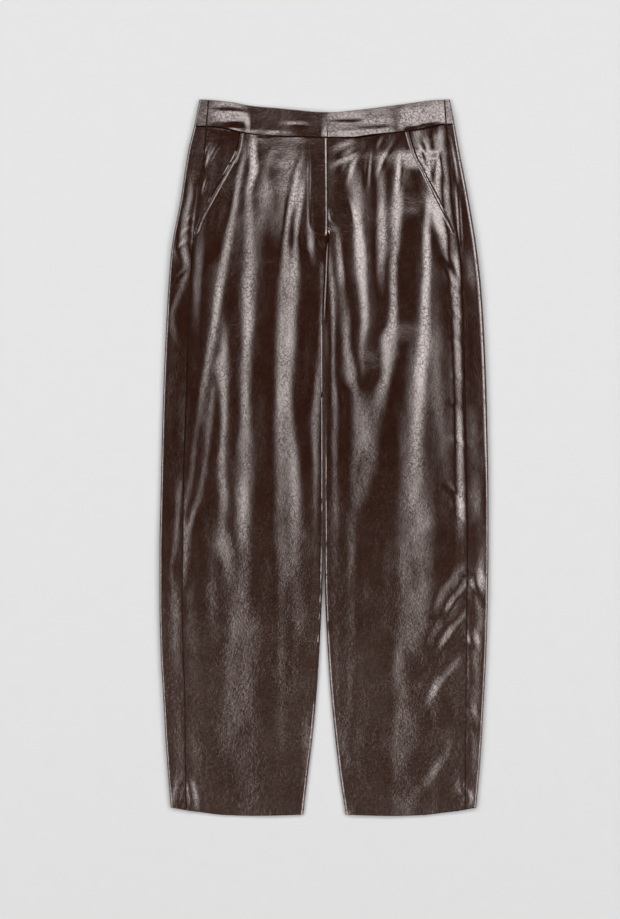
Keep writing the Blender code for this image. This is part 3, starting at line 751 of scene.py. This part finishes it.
def front_shape(side, u, v):
    """A front: u runs from the pocket and the side seam to the middle, v from waist to hem."""
    flat = np.clip(u / FRONT_FLAT, 0, 1)
    rolled = np.clip((u - FRONT_FLAT) / (1 - FRONT_FLAT), 0, 1)

    def place(drop):
        outer = side.sign * (mouth_out(side, drop) - GAP / 2)
        inner = front_inner_x(side, drop)
        start = inner + side.sign * ROLL_IN
        along, _ = turn_down(rolled, in_leg(drop))
        outer = outer + (start - outer) * from_edge(flat, np.abs(start - outer))
        return outer + (inner - start) * along

    x, drop = on_rows(place, nominal_drop(v))
    shoulder = front_inner_x(side, drop) + side.sign * ROLL_IN
    legs = in_leg(drop)
    beyond = (side.sign * x < side.sign * shoulder) & (legs > 0)
    at = np.where(beyond, x + (shoulder - x) * legs, x)
    top = skin(side, at, drop) + front_lift(side, x, drop)
    _, fallen = turn_down(rolled, legs)
    fall = (CENTRE_FALL + (top - MEET - MEET_GAP / 2 - CENTRE_FALL) * legs) * fallen
    under_fly = (side is LEFT) * (1 - step(drop, FLY_BOTTOM, FLY_RUN_OUT))
    over_zip = (side is RIGHT) * (1 - step(drop, FLY_BOTTOM + 4, FLY_RUN_OUT))
    return finished(x, drop, top - fall * (1 - under_fly) * (1 - over_zip))


# -------- backs
# shares of a back's columns at which its inner roll, its floor and its outer roll end
INNER_END, FLOOR_END, ROLL_END = 0.08, 0.4, 0.6
UNDERSIDE = 0.35  # share of the front's folds that a back has where it lies on the ground
UNDERSIDE_MOST = 1.4  # mm that they rise there, at the most
UNDERSIDE_FADE = 0.1  # share of the floor in which these folds fade out at both ends


def back_shape(side, u, v):
    """A back: u runs from the inner leg over the ground and up round the side to its seam."""
    rolled = np.clip(1 - u / INNER_END, 0, 1)
    floor = np.clip((u - INNER_END) / (FLOOR_END - INNER_END), 0, 1)
    turned = np.clip((u - FLOOR_END) / (ROLL_END - FLOOR_END), 0, 1) * math.pi
    on_top = np.clip((u - ROLL_END) / (1 - ROLL_END), 0, 1)

    def place(drop):
        inner = np.where(drop < CROTCH, GAP / 2, inner_out(side, drop))
        along, _ = turn_down(rolled, in_leg(drop))
        roll = outer_roll(side, drop)
        floor_out = edge_out(side, drop) - roll
        out = inner + BACK_ROLL_IN * (1 - along) + (floor_out - inner - BACK_ROLL_IN) * floor
        width = floor_out - seam_out(side, drop) - GAP / 2
        strip = width * (1 - from_edge(1 - on_top, width)) * (on_top > 0)
        return side.sign * (out + roll * np.sin(turned) - strip)

    x, drop = on_rows(place, nominal_drop(v))
    _, risen = turn_down(rolled, in_leg(drop))
    up = (MEET - MEET_GAP / 2) * in_leg(drop) ** 2 * risen
    inside = step(floor, 0.07, UNDERSIDE_FADE) * (1 - step(floor, 0.93, UNDERSIDE_FADE))
    up = up + inside * np.clip(UNDERSIDE * FOLDS[side.name](x, drop), 0, UNDERSIDE_MOST)
    roll_x = side.sign * (edge_out(side, drop) - outer_roll(side, drop))
    up = up + skin(side, roll_x, drop) * (1 - np.cos(turned)) / 2
    edge = turned_edge(side.sign * x - seam_out(side, drop) - GAP / 2) + waist_edge(x, drop)
    return finished(x, drop, np.where(on_top > 0, skin(side, x, drop) - edge, up))


# -------- pocket facings
FACING_SHOWN = 0.7  # share of the columns that isn't under the front
FACING_BELOW = 6.0  # how far a facing goes on below the pocket


def facing_shape(side, u, v):
    """A facing: u runs from the side seam inwards and under the pocket's mouth."""
    shown = np.clip(u / FACING_SHOWN, 0, 1)
    under = np.clip((u - FACING_SHOWN) / (1 - FACING_SHOWN), 0, 1)

    def place(drop):
        outer = seam_out(side, drop) - GAP / 2
        mouth = np.minimum(read(POCKET_MOUTH, side.number, drop), outer)
        width = outer - mouth + 0.01
        outer = outer - width * from_edge(shown, np.maximum(width, 2 * TURN_REACH))
        return side.sign * (outer - POCKET_UNDERLAP * under)

    x, drop = on_rows(place, WAIST_ROW + (POCKET_BOTTOM + FACING_BELOW - WAIST_ROW) * v)
    out = side.sign * x - mouth_out(side, drop)
    edge = turned_edge(seam_out(side, drop) - side.sign * x - GAP / 2) + waist_edge(x, drop)
    top = ground(side, x, drop)
    top = top + (skin(side, x, drop) - top) * step(out, -4, 6)
    return finished(x, drop, top - turned_edge(out) - edge)


# -------- waistband
# column, how much higher the lower edge of the front waistband lies than its upper edge
BAND_TILT = [
    (205, 2.7), (244, 2.7), (252, 0.6), (320, 0.5), (332, 4.2), (385, 4.0), (396, 2.7), (406, 4.0),
    (446, 4.5),
]
BAND_RISE = 72.0  # width in which the right front rises over the left one's underlap
# shares of the back waistband's columns, from each end, at which its ends on top and its rolls end
BAND_WRAP, BAND_TURN = 0.12, 0.3


def band_rows(x, v):
    top = read(TOP_EDGE, 1, x)
    return top + (read(WAIST_SEAM, 1, x) - top) * v


def on_band(place, v):
    x = place(band_rows(place(np.full_like(v, 20.0)), v))
    return x, band_rows(x, v)


def band_tilt(x, v):
    return read(BAND_TILT, 1, column_at(x)) * v


def band_edges(v):
    return turned_edge(np.minimum(v, 1 - v) * BAND_WIDTH)


def band_front_shape(side, u, v):
    """A front waistband: u runs from the side seam to the middle, v from the top down."""

    def place(drop):
        outer = side.sign * (seam_out(side, drop) - GAP / 2)
        inner = centre_x(drop) + side.sign * GAP / 2
        if side is LEFT:
            inner = inner - FLY_UNDERLAP
        return outer + (inner - outer) * from_edge(u, np.abs(inner - outer))

    x, drop = on_band(place, v)
    rise_middle = centre_x(drop) - FLY_UNDERLAP - BAND_RISE / 2 - 2
    raised = step(x, rise_middle, BAND_RISE) if side is RIGHT else 0
    edges = band_edges(v) + turned_edge(seam_out(side, drop) - side.sign * x - GAP / 2)
    top = BAND_TOP_Z + BAND_LIFT * raised + SMALL(x, drop) + band_tilt(x, v)
    return finished(x, drop, top - edges)


def band_back_shape(u, v):
    """The back waistband: u runs from the right end, on top, round under the waist to the left."""
    roll = BAND_TOP_Z / 2
    on_right = u < 0.5
    sign = np.where(on_right, -1.0, 1.0)
    from_end = np.minimum(u, 1 - u)
    on_top = np.clip(1 - from_end / BAND_WRAP, 0, 1)
    turned = np.clip((from_end - BAND_WRAP) / (BAND_TURN - BAND_WRAP), 0, 1) * math.pi
    middle = np.clip((from_end - BAND_TURN) / (0.5 - BAND_TURN), 0, 1)

    def of_side(measure, drop):
        return np.where(on_right, measure(RIGHT, drop), measure(LEFT, drop))

    def place(drop):
        edge = of_side(edge_out, drop) - roll
        seam = of_side(seam_out, drop) + GAP / 2
        return sign * (edge + (seam - edge) * on_top + roll * np.sin(turned) - edge * middle)

    x, drop = on_band(place, v)
    edges = band_edges(v) + turned_edge(sign * x - of_side(seam_out, drop) - GAP / 2)
    half = roll + band_tilt(x, v) / 2
    top = half * (1 + np.cos(turned)) + (SMALL(x, drop) - edges) * (turned == 0)
    return finished(x, drop, top)


FOLDS = {side.name: Relief(folds_of(side)) for side in (RIGHT, LEFT)}
SMALL = Relief(small_relief())


# -------- materials
class Nodes:
    """Short calls to add and link nodes in one tree."""

    def __init__(self, tree):
        self.tree = tree

    def put(self, value, socket):
        """Links a socket's value to another socket, or sets that one to a plain value."""
        if isinstance(value, bpy.types.NodeSocket):
            self.tree.links.new(value, socket)
        else:
            socket.default_value = value

    def add(self, kind, inputs=None, **settings):
        node = self.tree.nodes.new(kind)
        for key, value in settings.items():
            setattr(node, key, value)
        for key, value in (inputs or {}).items():
            self.put(value, node.inputs[key])
        return node

    def noise(self, vector, scale, detail=2.0, roughness=0.5, distortion=0.0):
        inputs = {"Vector": vector, "Scale": scale, "Detail": detail, "Roughness": roughness}
        return self.add("ShaderNodeTexNoise", {**inputs, "Distortion": distortion}).outputs["Fac"]

    def math(self, operation, a, b):
        return self.add("ShaderNodeMath", {0: a, 1: b}, operation=operation).outputs[0]

    def times(self, a, b):
        return self.math("MULTIPLY", a, b)

    def plus(self, a, b, share=1.0):
        """a, and a share of b."""
        return self.math("ADD", a, self.times(b, share))

    def vector(self, operation, a, b):
        return self.add("ShaderNodeVectorMath", {0: a, 1: b}, operation=operation).outputs[0]

    def span(self, value, low, high, to_low=0.0, to_high=1.0, kind="LINEAR"):
        ends = {"From Min": low, "From Max": high, "To Min": to_low, "To Max": to_high}
        node = self.add("ShaderNodeMapRange", {"Value": value, **ends}, interpolation_type=kind)
        return node.outputs["Result"]

    def blend(self, factor, a, b):
        node = self.add("ShaderNodeMix", {"Factor": factor}, data_type="RGBA")
        for key, value in (("A", a), ("B", b)):
            socket = next(s for s in node.inputs if s.name == key and s.type == "RGBA")
            self.put((*value, 1.0) if isinstance(value, tuple) else value, socket)
        return next(s for s in node.outputs if s.type == "RGBA")


class Look(Nodes):
    """The nodes of one material, laid out by the object's own coordinates."""

    def __init__(self, name):
        self.material = bpy.data.materials.new(name)
        self.material.use_nodes = True
        super().__init__(self.material.node_tree)
        self.place = self.add("ShaderNodeTexCoord").outputs["Object"]

    def bump(self, height, strength, distance):
        inputs = {"Height": height, "Strength": strength, "Distance": distance}
        return self.add("ShaderNodeBump", inputs).outputs["Normal"]

    def shaded(self, inputs):
        for key, value in inputs.items():
            self.put(value, self.tree.nodes["Principled BSDF"].inputs[key])
        return self.material


BROWN = (0.0175, 0.0038, 0.0012)
REDDER_BROWN = (0.027, 0.0074, 0.0030)
# lighter brown for the lower legs: painted sheen, standing in for the soft glow of their duller
# leather
LEG_BROWN_PAINTED_SHEEN = (0.029, 0.0092, 0.0042)
CRACK_BROWN = (0.003, 0.0012, 0.0008)


def leather(name):
    """Glossy, crackled leather that grows duller and wrinkled down the legs, where a lighter brown
    paints in the soft sheen of the duller leather.
    """
    n = Look(name)
    bend = n.add("ShaderNodeTexNoise", {"Vector": n.place, "Scale": 170.0, "Detail": 3.0})
    bend = n.vector("SUBTRACT", bend.outputs["Color"], (0.5, 0.5, 0.5))
    warped = n.vector("ADD", n.place, n.vector("MULTIPLY", bend, (0.009, 0.009, 0.009)))

    def cells(scale, reach):
        inputs = {"Vector": warped, "Scale": scale}
        edge = n.add("ShaderNodeTexVoronoi", inputs, feature="DISTANCE_TO_EDGE")
        return n.span(edge.outputs["Distance"], 0.0, reach)

    crack = cells(190.0, 0.10)
    pebble = cells(330.0, 0.45)
    cracked = n.span(n.noise(n.place, 26.0, 3.0), 0.38, 0.60)
    grain = n.noise(n.place, 430.0, 3.0, 0.6)
    crumb = n.noise(n.place, 170.0)
    wrinkle = n.noise(n.vector("MULTIPLY", n.place, (0.4, 1.0, 1.0)), 230.0, 3.0, 0.6, 0.4)
    down_leg = n.span(n.add("ShaderNodeSeparateXYZ", {0: n.place}).outputs["Y"], 0.02, -0.30)
    dull = n.times(n.span(crack, 0, 1, 1.0, 0.0), n.span(cracked, 0, 1, 0.3, 1.0))

    height = n.times(dull, -0.35)
    for part, share in ((pebble, 0.25), (grain, 2.0), (crumb, 1.6)):
        height = n.plus(height, part, share)
    height = n.times(height, n.plus(1.0, down_leg, 0.9))
    height = n.plus(height, wrinkle, n.times(down_leg, 5.0))

    brown = n.blend(n.span(crumb, 0.3, 0.7), BROWN, REDDER_BROWN)
    # lighter brown down the legs: painted sheen
    brown = n.blend(n.span(down_leg, 0, 1), brown, LEG_BROWN_PAINTED_SHEEN)
    brown = n.blend(n.span(crack, 0, 1, 0.7, 0.0), brown, CRACK_BROWN)
    gloss = n.plus(n.span(grain, 0.3, 0.7, 0.07, 0.10), down_leg, 0.05)
    return n.shaded({
        "Normal": n.bump(height, 0.6, 0.00014),
        "Base Color": brown,
        "Roughness": n.plus(gloss, dull, 0.16),
        "Specular IOR Level": n.span(dull, 0, 1, 0.84, 0.25),
        "Specular Tint": (1.0, 0.90, 0.87, 1.0),
        "IOR": 1.8,
        "Coat Weight": n.span(dull, 0, 1, 0.3, 0.0),
        "Coat Roughness": 0.06,
    })


def plain_weave(name, dark, light, scale, roughness):
    """A woven or napped surface, for the leather's wrong side, the zip's tape and the thread."""
    n = Look(name)
    weave = n.noise(n.place, scale, 3.0, 0.7)
    return n.shaded({
        "Base Color": n.blend(n.span(weave, 0.3, 0.7), dark, light),
        "Normal": n.bump(weave, 0.5, 0.0003),
        "Roughness": roughness,
    })


def steel(name):
    n = Look(name)
    brushed = n.noise(n.place, 900.0)
    return n.shaded({
        "Base Color": n.blend(brushed, (0.5, 0.49, 0.47), (0.62, 0.61, 0.59)),
        "Roughness": n.span(brushed, 0.3, 0.7, 0.25, 0.4),
        "Metallic": 1.0,
    })


def pale_paint(name):
    n = Look(name)
    speckle = n.noise(n.place, 40.0, 4.0)
    return n.shaded({
        "Base Color": n.blend(speckle, (0.563, 0.563, 0.563), (0.583, 0.583, 0.583)),
        "Roughness": 0.9,
        "Specular IOR Level": 0.1,
    })


# -------- making the objects
STITCH = 2.5  # length of one stitch
STITCH_GAP = 0.7
THREAD = 0.32  # radius
THREAD_FLATNESS = 0.7
THREAD_SIDES = 6
# share of a stitch's length, height of the thread's middle over the leather in radii
STITCH_BOW = [(0, -0.5), (0.18, 0.12), (0.5, 0.25), (0.82, 0.12), (1, -0.5)]
MOUTH_STITCHES = np.arange(52.0, POCKET_BOTTOM - 4, 9.0)  # drops that a pocket's row runs through
SHARP = math.radians(30)  # edges of a cloth's wall bent by more than this are sharp


def new_object(name, verts, faces, *looks):
    mesh = bpy.data.meshes.new(name)
    mesh.from_pydata(verts, [], faces)
    for look in looks:
        mesh.materials.append(look)
    made = bpy.data.objects.new(name, mesh)
    bpy.context.scene.collection.objects.link(made)
    return made


def cloth(name, shape, us, vs, wall, outside, inside):
    """A thin shell: its outer face is the shape at all the places u and v, its wall lies inside."""
    u, v = np.meshgrid(us, vs)
    points = shape(u.ravel(), v.ravel())
    index = np.arange(u.size).reshape(u.shape)
    quads = [index[:-1, :-1], index[:-1, 1:], index[1:, 1:], index[1:, :-1]]
    quads = np.stack(quads, -1).reshape(-1, 4)
    corners = points[quads]
    normals = np.cross(corners[:, 2] - corners[:, 0], corners[:, 3] - corners[:, 1])
    upper = corners[:, :, 2].mean(1) > wall * MM * 2
    if normals[upper, 2].sum() < 0:
        quads = quads[:, ::-1]
    made = new_object(name, points.tolist(), quads.tolist(), outside, inside)
    made.data.shade_smooth()
    solidify = made.modifiers.new("Wall", "SOLIDIFY")
    solidify.thickness = wall * MM
    solidify.offset = -1
    solidify.material_offset = 1
    solidify.material_offset_rim = 0
    graph = bpy.context.evaluated_depsgraph_get()
    walled = bpy.data.meshes.new_from_object(made.evaluated_get(graph))
    walled.set_sharp_from_angle(angle=SHARP)
    walled.name = name
    made.modifiers.clear()
    made.data = walled
    return made


def thread(name, side, points, look):
    """A row of stitches lying on a front panel along a curve through (column, line) points."""
    marks, chord = through(points)
    angle = np.arange(THREAD_SIDES) * math.tau / THREAD_SIDES
    aside, lift = THREAD * np.cos(angle), THREAD * THREAD_FLATNESS * np.sin(angle)
    shares, bow = (np.array(column(STITCH_BOW, k)) for k in (0, 1))
    verts, faces = [], []
    for start in np.arange(1.0, chord[-1] - STITCH, STITCH + STITCH_GAP):
        x, drop = (curve(start + STITCH * shares, chord, marks[:, k]) for k in (0, 1))
        way = np.array([x[-1] - x[0], drop[-1] - drop[0]])
        way = way / np.linalg.norm(way)
        height = skin(side, x, drop) + front_lift(side, x, drop) + THREAD * bow
        first, last = len(verts), len(verts) + THREAD_SIDES * (len(bow) - 1)
        x, drop, height = x[:, None], drop[:, None], height[:, None]
        rings = finished(x - way[1] * aside, drop + way[0] * aside, height + lift)
        verts.extend(rings.reshape(-1, 3).tolist())
        for ring in range(first, last, THREAD_SIDES):
            for k in range(THREAD_SIDES):
                a, b = ring + k, ring + (k + 1) % THREAD_SIDES
                faces.append((a, a + THREAD_SIDES, b + THREAD_SIDES, b))
        faces.append(tuple(range(first, first + THREAD_SIDES)))
        faces.append(tuple(range(last + THREAD_SIDES - 1, last - 1, -1)))
    made = new_object(name, verts, faces, look)
    made.data.shade_smooth()
    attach(made, "root")


def spread(*stretches):
    """Places from 0 to 1: each stretch is (end, how many steps up to it)."""
    places, start = [0.0], 0.0
    for end, count in stretches:
        places.extend(np.linspace(start, end, count + 1)[1:])
        start = end
    return np.array(places)


# where the rows and columns of each piece lie, closer together at its turned edges and rolls
EDGE_ROW = TURN_REACH / (LENGTH - WAIST_ROW)
ROWS = spread((EDGE_ROW, 2), (2.2 * EDGE_ROW, 1), (1, 376))
FRONT_COLUMNS = spread(
    (EDGE_SHARE * FRONT_FLAT, 2), (0.036, 9), (FRONT_FLAT - 0.012, 96), (FRONT_FLAT, 3), (1, 8)
)
BACK_COLUMNS = spread(
    (INNER_END, 5), (FLOOR_END, 44), (ROLL_END, 14), (1 - EDGE_SHARE / 2, 24), (1, 2)
)
FACING_ROWS = spread((0.0035, 1), (0.007, 1), (1, 100))
FACING_COLUMNS = spread((EDGE_SHARE * FACING_SHOWN, 2), (FACING_SHOWN, 38), (0.72, 4), (1, 8))
BAND_EDGE_ROW = TURN_REACH / BAND_WIDTH
BAND_ROWS = spread((BAND_EDGE_ROW, 2), (1 - BAND_EDGE_ROW, 22), (1, 2))
BAND_COLUMNS = spread((EDGE_SHARE, 2), (1, 150))
BAND_BACK_COLUMNS = spread((0.0012, 1), (0.012, 3), (0.988, 190), (0.9988, 3), (1, 1))


def leather_piece(node, shape, us, vs, wall, outside, inside):
    """A cloth that takes the place of a plain solid."""
    piece = cloth(node.capitalize(), shape, us, vs, wall, outside, inside)
    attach(piece, "root")
    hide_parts(node)
    return piece


def one_side(side, surface, wrong_side):
    """The front, back, pocket facing and front waistband of one side."""
    front, back, facing, band = (
        leather_piece(f"{name}_{side.name}", partial(shape, side), us, vs, wall, surface, inside)
        for name, shape, us, vs, wall, inside in (
            ("front", front_shape, FRONT_COLUMNS, ROWS, WALL, wrong_side),
            ("back", back_shape, BACK_COLUMNS, ROWS, WALL, wrong_side),
            ("pocket_facing", facing_shape, FACING_COLUMNS, FACING_ROWS, WALL, wrong_side),
            ("waistband_front", band_front_shape, BAND_COLUMNS, BAND_ROWS, BAND_WALL, surface),
        )
    )


def back_waistband(surface):
    band = leather_piece(
        "waistband_back", band_back_shape, BAND_BACK_COLUMNS, BAND_ROWS, BAND_WALL, surface, surface
    )


def sewing():
    look = plain_weave(
        "Dark_brown_thread", (0.006, 0.003, 0.002), (0.014, 0.007, 0.005), 2600.0, 0.6
    )
    thread("Fly_stitches", RIGHT, FLY_STITCHES, look)
    for side in (RIGHT, LEFT):
        places = []
        for drop in MOUTH_STITCHES:
            x = side.sign * (mouth_out(side, drop) - MOUTH_STITCH)
            places.append((column_at(x), line_at(drop)))
        thread(f"Pocket_stitches_{side.name}", side, places, look)


# -------- studio
FLOOR_HALF = 12.0  # metres
FLOOR_Z = -0.0006
# name, degrees that it is turned from the wearer's left, degrees from straight above of its near
# and its far long side, length in metres, brightness at its brightest
SOFTBOXES = [
    ("Softbox_right", 180, 4, 66, 7.0, 4.2),
    ("Softbox_left", 0, 4, 66, 7.0, 4.2),
    ("Softbox_waist_end", 90, 13, 50, 5.0, 3.4),
]
SOFTBOX_DISTANCE = 5.0
SOFTBOX_POWER = 2.4  # the higher, the later its brightness grows from the near side
SOFTBOX_PEAK, SOFTBOX_FALL = 0.46, 0.38  # shares of its width up to the peak, and at the far side
SOFTBOX_END = 0.12  # share of its length in which it grows dark at both ends
WORLD_STRENGTH = 0.012
VIEW_LINES = 919  # lines of the grid that the camera sees
LENS, SENSOR = 100, 36
CAMERA_AIM = (-0.0199, -0.0028, 0.006)  # metres


def softbox(name, turn, near, far, length, peak):
    """A rectangular light that looks at the origin and grows dark towards its edges."""
    light = bpy.data.lights.new(name, "AREA")
    light.shape = "RECTANGLE"
    light.size = 2 * SOFTBOX_DISTANCE * math.tan(math.radians(far - near) / 2)
    light.size_y = length
    light.energy = peak * math.pi * light.size * light.size_y
    light.use_nodes = True
    n = Nodes(light.node_tree)
    place = n.add("ShaderNodeNewGeometry").outputs["Parametric"]
    split = n.add("ShaderNodeSeparateXYZ", {0: place})
    u, v = split.outputs["X"], split.outputs["Y"]

    def fade(value, start, end):
        return n.span(value, start, end, kind="SMOOTHSTEP")

    grown = n.math("POWER", n.span(u, 0.0, SOFTBOX_PEAK), SOFTBOX_POWER)
    across_it = n.times(grown, fade(u, 1.0, 1 - SOFTBOX_FALL))
    along_it = n.times(fade(v, 0.0, SOFTBOX_END), fade(v, 1.0, 1 - SOFTBOX_END))
    n.put(n.times(across_it, along_it), n.tree.nodes["Emission"].inputs["Strength"])

    made = bpy.data.objects.new(name, light)
    tilt, turn = math.radians((near + far) / 2), math.radians(turn)
    out, up = SOFTBOX_DISTANCE * math.sin(tilt), SOFTBOX_DISTANCE * math.cos(tilt)
    made.location = (out * math.cos(turn), out * math.sin(turn), up)
    made.rotation_euler = (0, tilt, turn)
    bpy.context.scene.collection.objects.link(made)


def lay_floor():
    look = pale_paint("Pale_floor")
    corners = ((-1, -1), (1, -1), (1, 1), (-1, 1))
    verts = [(x * FLOOR_HALF, y * FLOOR_HALF, FLOOR_Z) for x, y in corners]
    floor = new_object("Floor", verts, [(0, 1, 2, 3)], look)


def studio():
    scene = bpy.context.scene
    world = bpy.data.worlds.new("Studio")
    world.use_nodes = True
    background = world.node_tree.nodes["Background"]
    background.inputs["Color"].default_value = (1, 1, 1, 1)
    background.inputs["Strength"].default_value = WORLD_STRENGTH
    scene.world = world
    for settings in SOFTBOXES:
        softbox(*settings)
    scene.view_settings.view_transform = "Standard"

    lens = bpy.data.cameras.new("Camera")
    lens.lens = LENS
    lens.sensor_width = SENSOR
    camera = bpy.data.objects.new("Camera", lens)
    distance = VIEW_LINES * STEP * MM / 2 / (SENSOR / 2 / LENS)
    camera.location = (CAMERA_AIM[0], CAMERA_AIM[1], CAMERA_AIM[2] + distance)
    scene.collection.objects.link(camera)
    scene.camera = camera


def main():
    surface = leather("Crackled_brown_leather")
    wrong_side = plain_weave(
        "Leather_wrong_side", (0.10, 0.075, 0.06), (0.17, 0.13, 0.105), 900.0, 0.95
    )
    tape = plain_weave(
        "Zip_tape_weave", (0.015, 0.009, 0.007), (0.03, 0.02, 0.016), 1400.0, 0.85
    )
    for side in (RIGHT, LEFT):
        one_side(side, surface, wrong_side)
    back_waistband(surface)
    sewing()
    for name, look in (("fly_zip", tape), ("waist_hook", steel("Brushed_steel"))):
        materials = bpy.data.objects[name].data.materials
        materials.clear()
        materials.append(look)
    lay_floor()
    studio()


main()
